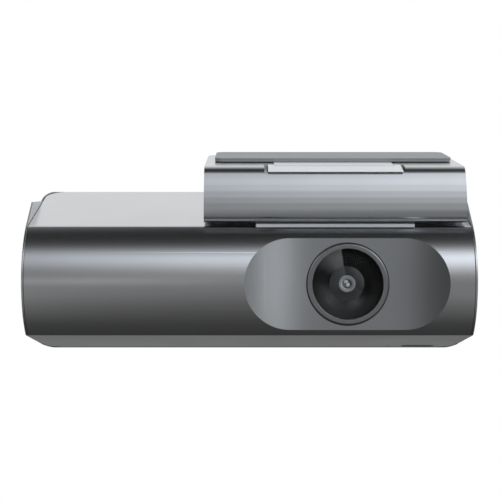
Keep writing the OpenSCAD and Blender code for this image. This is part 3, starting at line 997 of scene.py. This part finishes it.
@dataclass(frozen=True)
class Crowned(Skin):
    """A plate whose face bulges along X, as part of a large cylinder.

    Attributes:
        radius: the cylinder's radius, in mm.
        strip: width of the strips that the face is cut in, in mm.
        near: how far from the cylinder the face's vertices may lie, in mm.
    """

    radius: float = 200.0
    strip: float = 1.0
    near: float = 0.15

    def shape(self, bm: bmesh.types.BMesh) -> None:
        """Cuts the face in strips and sets them on the cylinder.

        Args:
            bm: the mesh.
        """
        xs = [v.co.x for v in bm.verts]
        low, high = min(xs), max(xs)
        middle, apex = (low + high) / 2, min(v.co.y for v in bm.verts)
        for i in range(1, int((high - low) / (self.strip * MM))):
            sliced(bm, (1, 0, 0), (low + i * self.strip * MM, 0, 0))
        for vert in bm.verts:
            depth = apex + self.sunk(vert.co.x - middle)
            if abs(vert.co.y - depth) < self.near * MM:
                vert.co.y = depth
        bm.normal_update()
        shaded(bm, self.crease)

    @classmethod
    def sunk(cls, across: float) -> float:
        """How far the cylinder lies behind its apex.

        Args:
            across: distance from the apex along X, in metres.

        Returns:
            The depth, in metres.
        """
        radius = cls.radius * MM
        return radius - math.sqrt(radius ** 2 - across ** 2)


@dataclass(frozen=True)
class Leaned(Skin):
    """A skin whose front shades as if it leaned less and curled under at its foot.

    The photo's highlights show both; the mesh keeps the CAD's shape, and only its corner
    normals turn.

    Attributes:
        turns: (share of the front's height, degrees turned down) pairs, from the foot up.
        rows: how many rows the front is cut in.
        deep: how far back from the foremost edge the front goes at its ends, in mm.
        reach: how far back normals are turned, in mm.
        facing: how far a normal faces forward where turning starts and where it is full.
    """

    turns: tuple[Spot, ...] = ((0.0, 25.0), (0.08, 21.0), (0.13, 15.0), (0.2, 4.4), (0.3, 4.2),
                               (0.4, 4.8), (0.5, 5.3), (0.8, 5.0), (0.93, 2.5), (1.0, 0.0))
    rows: int = 24
    deep: float = 4.0
    reach: float = 8.0
    facing: Spot = (0.35, 0.65)

    def _span(self, verts: Iterable[Any]) -> tuple[float, float]:
        """The heights that the front goes between.

        Args:
            verts: the piece's vertices.

        Returns:
            The lowest and the highest.
        """
        front = min(v.co.y for v in verts)
        heights = [v.co.z for v in verts if v.co.y < front + self.deep * MM]
        return min(heights), max(heights)

    def _turn(self, share: float) -> float:
        """The turn at one height.

        Args:
            share: the height, as a share of the front's.

        Returns:
            The turn, in radians.
        """
        low = max((t for t in self.turns if t[0] <= share), default=self.turns[0])
        high = min((t for t in self.turns if t[0] > share), default=self.turns[-1])
        if high[0] <= low[0]:
            return math.radians(low[1])
        between = (share - low[0]) / (high[0] - low[0])
        return math.radians(low[1] + (high[1] - low[1]) * between)

    def shape(self, bm: bmesh.types.BMesh) -> None:
        """Cuts the front in rows that are fine enough to carry the turns.

        Args:
            bm: the mesh.
        """
        low, high = self._span(bm.verts)
        for i in range(1, self.rows):
            sliced(bm, (0, 0, 1), (0, 0, low + (high - low) * i / self.rows))

    def paint(self, obj: bpy.types.Object, fitter: Fitter) -> None:
        """Turns the front's corner normals.

        Args:
            obj: the finished piece.
            fitter: where the materials are; not used here.
        """
        mesh = obj.data
        start, full = self.facing
        low, high = self._span(mesh.vertices)
        front = min(v.co.y for v in mesh.vertices)
        normals = [corner.vector.copy() for corner in mesh.corner_normals]
        for loop, normal in zip(mesh.loops, normals):
            spot = mesh.vertices[loop.vertex_index].co
            weight = min(max((-normal.y - start) / (full - start), 0.0), 1.0)
            if weight and spot.y < front + self.reach * MM:
                turn = self._turn((spot.z - low) / (high - low)) * weight
                normal.rotate(Euler((turn, 0.0, 0.0)))
        mesh.normals_split_custom_set(normals)


@dataclass(frozen=True)
class Headless(Skin):
    """A row of screws without their heads, which are modelled apart.

    Attributes:
        head: how much of each screw's rear end is cut away, in mm.
    """

    head: float = 1.0

    def shape(self, bm: bmesh.types.BMesh) -> None:
        """Cuts the heads off and closes the shanks.

        Args:
            bm: the mesh.
        """
        place = max(v.co.y for v in bm.verts) - self.head * MM
        rim = sliced(bm, (0, 1, 0), (0, place, 0), clear=True)
        bmesh.ops.holes_fill(bm, edges=[e for e in rim if isinstance(e, bmesh.types.BMEdge)])
        bm.normal_update()


@dataclass(frozen=True)
class TwoTone(Skin):
    """A skin whose faces behind a depth have a second finish.

    Attributes:
        second: the other finish.
        depth: how far behind the node's front the second finish starts, in mm.
    """

    second: Look = Look.pad_foam
    depth: float = 10.0

    def paint(self, obj: bpy.types.Object, fitter: Fitter) -> None:
        """Paints the faces that lie far enough back.

        Args:
            obj: the finished piece.
            fitter: where the materials are.
        """
        obj.data.materials.append(fitter.paints[self.look])
        obj.data.materials.append(fitter.paints[self.second])
        front = min(v.co.y for v in obj.data.vertices)
        for face in obj.data.polygons:
            face.material_index = int(face.center.y > front + self.depth * MM)


def turned(name: str, centre: Vector, outline: Sequence[Spot], steps: int = 96) \
        -> bpy.types.Object:
    """Turns an outline about the lens axis.

    Args:
        name: the piece's name.
        centre: a point on the axis, where depth is 0.
        outline: closed outline of (radius, depth) in mm, radius never 0.
        steps: how many sides the turning has.

    Returns:
        The piece.
    """
    bm = bmesh.new()
    turns = [math.tau * i / steps for i in range(steps)]
    rings = [[bm.verts.new(centre + MM * Vector((r * math.cos(t), depth, r * math.sin(t))))
              for t in turns] for r, depth in outline]
    banded(bm, rings + rings[:1])
    bmesh.ops.recalc_face_normals(bm, faces=bm.faces)
    shaded(bm, 28.0)
    return from_mesh(bm, name)


class Lens:
    """What shows inside the front glass: baffle, second element, stop, sensor cover, and two white discs on the cover
    that are painted glints of the lamps.

    Outlines are (radius, depth) in mm, the depth from the back of the front glass.
    """

    PIECES: tuple[tuple[str, Look, tuple[Spot, ...]], ...] = (
        ("lens_baffle", Look.baffle_black,
         ((8.06, -0.12), (6.55, -0.05), (5.9, 0.08), (5.2, 0.38), (4.0, 1.0), (4.0, 1.2),
          (5.2, 0.6), (5.9, 0.3), (6.5, 0.0), (8.06, -0.04))),
        ("second_element", Look.element_black,
         ((4.02, 1.05), (3.4, 0.86), (2.6, 0.7), (1.7, 0.62), (1.7, 0.9), (4.02, 1.3))),
        ("element_rim", Look.element_rim,
         ((1.98, 0.68), (1.8, 0.57), (1.3, 0.56), (1.12, 0.62), (1.12, 0.85), (1.98, 0.85))),
        ("stop_cone", Look.stop_grey,
         ((1.14, 0.75), (0.98, 1.5), (0.98, 1.7), (1.14, 0.95))),
        ("stop_edge", Look.baffle_black,
         ((1.0, 1.48), (0.88, 1.5), (0.88, 1.7), (1.0, 1.7))),
        ("sensor_cover", Look.stop_grey,
         ((0.94, 1.6), (0.02, 1.55), (0.02, 1.75), (0.94, 1.75))),
    )
    # outline of a painted glint: a small white disc, as (radius, depth) in mm
    GLINT: tuple[Spot, ...] = ((0.4, -0.05), (0.28, -0.15), (0.02, -0.17), (0.02, -0.05))
    # the seam's distance from the glass's edge, its width, and how far it stands proud of the
    # plate and goes behind its face, in mm
    SEAM_OUT, SEAM_WIDE, SEAM_PROUD, SEAM_DEEP = 1.18, 0.27, 0.012, 0.3

    def __init__(self, fitter: Fitter, aim: Aim) -> None:
        """Finds the lens axis and the glass's radius from the CAD glass.

        Args:
            fitter: where pieces go.
            aim: where points of the photograph land.
        """
        self.fitter = fitter
        self.aim = aim
        low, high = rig.box("front_glass")
        self.centre = Vector(((low.x + high.x) / 2, high.y, (low.z + high.z) / 2))
        self.radius = (high.x - low.x) / 2 / MM

    def build(self) -> None:
        """Builds the pieces behind the glass, two white discs of painted glint on the sensor cover, and the seam about
        the ring.
        """
        for name, look, outline in self.PIECES:
            self.fitter.fit(turned(name, self.centre, outline), look, "camera")
        cover = bpy.data.objects[self.PIECES[-1][0]]
        # two small white discs on the cover: painted highlights where the lamps would glint in the lens
        for name in ("glint_high", "glint_low"):
            spot = self.aim.place(IMAGE_POINTS[name], cover)
            self.fitter.fit(turned(name, spot, self.GLINT, 24), Look.sensor_glint, "camera")
        self._seam()

    def _seam(self) -> None:
        """The dark line between the ring and the crowned plate, which it follows."""
        low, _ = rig.box("lens_plate")
        apex = (low.y - self.centre.y) / MM
        inner = self.radius + self.SEAM_OUT
        outer = inner + self.SEAM_WIDE
        front, rear = apex - self.SEAM_PROUD, apex + self.SEAM_DEEP
        obj = turned("ring_seam", self.centre,
                     [(inner, rear), (inner, front), (outer, front), (outer, rear)])
        for vert in obj.data.vertices:
            vert.co.y += Crowned.sunk(vert.co.x - self.centre.x)
        self.fitter.fit(obj, Look.seam_black, "camera")


@dataclass(frozen=True)
class ScrewKind:
    """A pan-head screw head with a cross recess.

    Attributes:
        radius: radius of the head, in mm.
        height: how far it stands above its seat, in mm.
        slot: half length of the recess, in mm.
        arm: half width of an arm of the recess, in mm.
        depth: depth of the recess, in mm.
    """

    radius: float
    height: float
    slot: float
    arm: float
    depth: float

    def head(self, name: str) -> bpy.types.Object:
        """Models the head at the origin, its axis along +Z and its seat at 0.

        Args:
            name: the object's name.

        Returns:
            The head.
        """
        bm = bmesh.new()
        turns = [math.tau * i / 32 for i in range(32)]
        # a straight side, then a rounded edge
        outline = [(self.radius, 0.0), (self.radius, self.height * 0.55),
                   (self.radius * 0.9, self.height * 0.9), (self.radius * 0.78, self.height)]
        rings = [[bm.verts.new(MM * Vector((r * math.cos(t), r * math.sin(t), z)))
                  for t in turns] for r, z in outline]
        banded(bm, rings)
        bm.faces.new(list(reversed(rings[0])))
        a, s = self.arm, self.slot
        cross = [(a, s), (-a, s), (-a, a), (-s, a), (-s, -a), (-a, -a), (-a, -s), (a, -s),
                 (a, -a), (s, -a), (s, a), (a, a)]
        top = [bm.verts.new(MM * Vector((x, y, self.height))) for x, y in cross]
        sunk = [bm.verts.new(MM * Vector((0.6 * x, 0.6 * y, self.height - self.depth)))
                for x, y in cross]
        banded(bm, [top, sunk])
        bm.faces.new(sunk)
        edges = [bm.edges.get(pair) for ring in (rings[-1], top)
                 for pair in zip(ring, ring[1:] + ring[:1])]
        bmesh.ops.triangle_fill(bm, edges=edges, use_beauty=True)
        bmesh.ops.recalc_face_normals(bm, faces=bm.faces)
        shaded(bm, 32.0)
        return from_mesh(bm, name)


class Scatter:
    """Copies of one small part on given points, made by a Geometry Nodes group."""

    def __init__(self, name: str) -> None:
        """Builds the group.

        Args:
            name: the group's name.
        """
        self.group = bpy.data.node_groups.new(name, "GeometryNodeTree")
        face = self.group.interface
        for label, kind in (("Geometry", "NodeSocketGeometry"), ("Part", "NodeSocketObject"),
                            ("Tilt", "NodeSocketRotation"), ("Spin Spread", "NodeSocketFloat"),
                            ("Seed", "NodeSocketInt"), ("Material", "NodeSocketMaterial")):
            face.new_socket(label, in_out="INPUT", socket_type=kind)
        face.new_socket("Geometry", in_out="OUTPUT", socket_type="NodeSocketGeometry")
        bench = Bench(self.group)
        given = bench.add("NodeGroupInput")
        part = bench.add("GeometryNodeObjectInfo", {"transform_space": "ORIGINAL"},
                         {"Object": given.outputs["Part"]})
        spin = bench.add("FunctionNodeRandomValue", {"data_type": "FLOAT"},
                         {2: 0.0, 3: given.outputs["Spin Spread"], "Seed": given.outputs["Seed"]})
        about = bench.add("ShaderNodeCombineXYZ", None, {"Z": spin.outputs[1]})
        turn = bench.add("FunctionNodeEulerToRotation", None, {0: about.outputs[0]})
        both = bench.add("FunctionNodeRotateRotation", {"rotation_space": "LOCAL"},
                         {0: given.outputs["Tilt"], 1: turn.outputs[0]})
        spots = bench.add("GeometryNodeMeshToPoints", None, {"Mesh": given.outputs["Geometry"]})
        copies = bench.add("GeometryNodeInstanceOnPoints", None, {
            "Points": spots.outputs[0], "Instance": part.outputs["Geometry"],
            "Rotation": both.outputs[0]})
        real = bench.add("GeometryNodeRealizeInstances", None, {0: copies.outputs[0]})
        paint = bench.add("GeometryNodeSetMaterial", None,
                          {"Geometry": real.outputs[0], "Material": given.outputs["Material"]})
        bench.add("NodeGroupOutput", None, {0: paint.outputs[0]})

    def scatter(self, name: str, points: Sequence[Vector], inputs: dict[str, Any]) \
            -> bpy.types.Object:
        """Makes one mesh of all the copies.

        Args:
            name: the new piece's name.
            points: where the copies go.
            inputs: the group's inputs by name.

        Returns:
            The piece.
        """
        mesh = bpy.data.meshes.new(name)
        mesh.from_pydata([tuple(p) for p in points], [], [])
        obj = linked(name, mesh)
        modifier = obj.modifiers.new("scatter", "NODES")
        modifier.node_group = self.group
        for item in self.group.interface.items_tree:
            if item.in_out == "INPUT" and item.name in inputs:
                modifier[item.identifier] = inputs[item.name]
        return applied(obj)


class Fittings:
    """The rear cover's screws."""

    PAN = ScrewKind(radius=1.9, height=0.95, slot=1.15, arm=0.26, depth=0.5)

    def __init__(self, fitter: Fitter) -> None:
        """Makes the scattering group.

        Args:
            fitter: where pieces go.
        """
        self.fitter = fitter
        self.group = Scatter("screw_heads")

    def clusters(self, node: str) -> list[tuple[Vector, Vector]]:
        """The boxes of a node's separate solids.

        Args:
            node: the CAD node.

        Returns:
            The lowest and highest corner of each.
        """
        bm = bmesh.new()
        bm.from_mesh(self.fitter.nodes[node].data)
        bmesh.ops.remove_doubles(bm, verts=bm.verts, dist=2e-6)
        left = set(bm.verts)
        found = []
        while left:
            stack = [left.pop()]
            island = []
            while stack:
                vert = stack.pop()
                island.append(vert.co.copy())
                for edge in vert.link_edges:
                    other = edge.other_vert(vert)
                    if other in left:
                        left.remove(other)
                        stack.append(other)
            found.append((Vector(map(min, zip(*island))), Vector(map(max, zip(*island)))))
        bm.free()
        return sorted(found, key=lambda pair: (round(pair[0].z, 4), pair[0].x))

    def cover_screws(self) -> None:
        """Pan heads in the rear cover's counterbores, each turned at random."""
        seat = Headless.head * MM
        spots = [Vector(((low.x + high.x) / 2, high.y - seat, (low.z + high.z) / 2))
                 for low, high in self.clusters("cover_screws")]
        part = self.PAN.head("cover_screw_heads_part")
        obj = self.group.scatter("cover_screw_heads", spots, {
            "Part": part, "Tilt": (-math.pi / 2, 0.0, 0.0), "Spin Spread": 3.1, "Seed": 5,
            "Material": self.fitter.paints[Look.steel]})
        bpy.data.objects.remove(part)
        self.fitter.fit(obj, Look.steel, "camera")
        Headless("cover_screws", Look.steel, 0.0).build(self.fitter)


class DashCamera:
    """The whole dressed object."""

    SKINS: tuple[Skin, ...] = (
        TwoTone("windscreen_plate", Look.plate_plastic, 0.1),
        Skin("adhesive_pad", Look.pad_foam, 0.1),
        Leaned("bracket_shell", Look.satin_grey, 0.2, 24.0),
        Skin("bracket_floor", Look.black_plastic, 0.12),
        Skin("front_shell", Look.satin_metal, 0.12, 24.0),
        Skin("left_cheek", Look.satin_metal, 0.12, 24.0),
        Skin("right_cheek", Look.satin_metal, 0.12, 24.0),
        Skin("rear_cover", Look.black_plastic, 0.15, 24.0),
        Skin("hinge_base", Look.bare_aluminium, 0.15),
        Crowned("lens_plate", Look.plate_metal, 0.12, 24.0),
        Skin("lens_ring", Look.ring_metal, 0.1),
        Skin("front_glass", Look.lens_glass, 0.0, 24.0),
        Skin("lens_barrel", Look.black_anodised, 0.0),
        Skin("iris_ring", Look.black_anodised, 0.0),
        Skin("rear_lens", Look.lens_glass, 0.0, 24.0),
        Skin("event_button", Look.button_plastic, 0.25, 24.0),
        Skin("hinge_pin", Look.steel, 0.12),
        Skin("friction_washers", Look.brass, 0.0),
        Skin("usb_socket", Look.steel, 0.05),
        Skin("card_socket", Look.steel, 0.05),
        Skin("speaker", Look.grille_cloth, 0.1),
        Skin("floor_screws", Look.steel, 0.1),
        Skin("base_screws", Look.steel, 0.1),
    )
    HIDDEN: dict[str, Look] = {
        "gps_antenna": Look.ceramic_white, "lens_holder": Look.black_plastic,
        "image_sensor": Look.silicon, "sensor_board": Look.circuit_board,
        "board_link": Look.black_plastic, "main_board": Look.circuit_board,
        "processor": Look.black_plastic, "heat_spreader": Look.bare_aluminium,
        "supercapacitors": Look.sleeve_blue, "radio_antenna": Look.circuit_board,
        "microphone": Look.brass, "button_switch": Look.black_plastic,
    }

    def __init__(self, fitter: Fitter, aim: Aim) -> None:
        """Keeps the fitter and the aim.

        Args:
            fitter: where pieces go.
            aim: where points of the photograph land.
        """
        self.fitter = fitter
        self.aim = aim

    def build(self) -> None:
        """Builds every piece, the big ones first."""
        for skin in self.SKINS:
            skin.build(self.fitter)
            LOG.info("dressed %s", skin.node)
        for node, look in self.HIDDEN.items():
            self.fitter.paint_node(node, look)
        Lens(self.fitter, self.aim).build()
        Fittings(self.fitter).cover_screws()


class Aim:
    """Where a point of the photograph lands on the object."""

    def __init__(self, camera: bpy.types.Object) -> None:
        """Keeps the camera.

        Args:
            camera: the photograph's camera.
        """
        self.camera = camera

    def ray(self, spot: Spot) -> tuple[Vector, Vector]:
        """The ray through a point of the photograph.

        Args:
            spot: the point, in pixels.

        Returns:
            Its start and direction in the row frame.
        """
        data = self.camera.data
        side = max(W, H)
        x = spot[0] - W / 2 + data.shift_x * side
        y = H / 2 - spot[1] + data.shift_y * side
        way = Vector((x, y, -side * data.lens / data.sensor_width))
        world = self.camera.matrix_world
        return world.translation.copy(), (world.to_3x3() @ way).normalized()

    def pixel(self, point: Vector) -> Spot:
        """Where a point of the row frame shows.

        Args:
            point: the point.

        Returns:
            Its place in pixels.
        """
        data = self.camera.data
        side = max(W, H)
        near = self.camera.matrix_world.inverted() @ point
        scale = side * data.lens / data.sensor_width / -near.z
        return (near.x * scale + W / 2 - data.shift_x * side,
                H / 2 - near.y * scale + data.shift_y * side)

    def place(self, spot: Spot, carrier: bpy.types.Object) -> Vector:
        """The point of a piece that shows at a point of the photograph.

        Args:
            spot: the point, in pixels.
            carrier: the piece.

        Returns:
            The place hit, or the nearest place where the ray misses.
        """
        bm = bmesh.new()
        bm.from_mesh(carrier.data)
        bm.transform(carrier.matrix_world)
        tree = BVHTree.FromBMesh(bm)
        start, way = self.ray(spot)
        hit = tree.ray_cast(start, way)[0]
        if hit is None:
            best = min((v.co for v in bm.verts),
                       key=lambda co: (co - start - way * (co - start).dot(way)).length)
            hit = best.copy()
        bm.free()
        return hit


class Register:
    """Measures how far each named feature lies from its place in the photograph."""

    def __init__(self, aim: Aim) -> None:
        """Keeps the aim.

        Args:
            aim: the camera's aim.
        """
        self.aim = aim
        self.rows: dict[str, dict[str, float | list[float]]] = {}

    def span(self, prefixes: Sequence[str]) -> tuple[float, float, float, float]:
        """The box in the image of the pieces whose names start so.

        Args:
            prefixes: name starts.

        Returns:
            Left, right, top and bottom, in pixels.
        """
        spots = [self.aim.pixel(obj.matrix_world @ v.co) for obj in bpy.context.scene.objects
                 if obj.type == "MESH" and not obj.hide_render
                 and any(obj.name.startswith(p) for p in prefixes) for v in obj.data.vertices]
        xs, ys = [s[0] for s in spots], [s[1] for s in spots]
        return min(xs), max(xs), min(ys), max(ys)

    def note(self, name: str, x: float | None = None, y: float | None = None) -> None:
        """Writes one feature's offset down.

        Args:
            name: its name in IMAGE_POINTS.
            x: where it shows across, if measured.
            y: where it shows down, if measured.
        """
        spot = IMAGE_POINTS[name]
        self.rows[name] = {
            "photo": list(spot),
            "dx": 0.0 if x is None else round(x - spot[0], 2),
            "dy": 0.0 if y is None else round(y - spot[1], 2)}

    def measure(self) -> None:
        """Measures every named feature."""
        left, right, _, bottom = self.span(["front_shell", "left_cheek", "right_cheek",
                                            "rear_cover"])
        self.note("body_left", x=left)
        self.note("body_right", x=right)
        self.note("body_bottom", y=bottom)
        self.note("pad_top", y=self.span(["adhesive_pad"])[2])
        left, right, top, bottom = self.span(["lens_ring"])
        self.note("ring_left", x=left)
        self.note("ring_right", x=right)
        self.note("lens_centre", x=(left + right) / 2, y=(top + bottom) / 2)
        left, right, top, bottom = self.span(["lens_plate"])
        self.note("plate_left", x=left)
        self.note("plate_right", x=right)
        self.note("plate_top", y=top)
        self.note("plate_bottom", y=bottom)
        left, right, _, _ = self.span(["bracket_shell"])
        self.note("bracket_left", x=left)
        self.note("bracket_right", x=right)
        left, right, _, _ = self.span(["hinge_base"])
        self.note("hinge_base_left", x=left)
        self.note("hinge_base_right", x=right)
        left, _, _, _ = self.span(["adhesive_pad"])
        self.note("pad_left", x=left)
        left, right, _, bottom = self.span(["event_button"])
        self.note("button", x=(left + right) / 2, y=bottom)
        for name in ("glint_high", "glint_low"):
            left, right, top, bottom = self.span([name])
            self.note(name, x=(left + right) / 2, y=(top + bottom) / 2)

    def save(self, path: str) -> None:
        """Writes the offsets.

        Args:
            path: the file.
        """
        with open(path, "w", encoding="utf-8") as file:
            json.dump(self.rows, file, indent=1)


def sizes() -> list[list[float]]:
    """The visual model's box, as lists."""
    return [list(map(float, corner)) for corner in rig.bounds()]


def main() -> None:
    """Builds the scene in order and reports."""
    logging.basicConfig(level=logging.INFO, format="%(name)s: %(message)s")
    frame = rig.load()
    before = sizes()
    camera = Studio().build()
    bpy.context.view_layer.update()
    aim = Aim(camera)
    DashCamera(Fitter(frame, Paints()), aim).build()
    scene = bpy.context.scene
    scene.view_settings.view_transform = "Standard"
    bpy.context.view_layer.update()
    register = Register(aim)
    register.measure()
    register.save("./points.json")
    with open("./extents.json", "w", encoding="utf-8") as file:
        json.dump({"after_load": before, "before_finish": sizes()}, file, indent=1)
    worst = max(register.rows.items(), key=lambda row: abs(row[1]["dx"]) + abs(row[1]["dy"]))
    LOG.info("%d features measured, worst %s %s", len(register.rows), *worst)


if __name__ == "__main__":
    main()
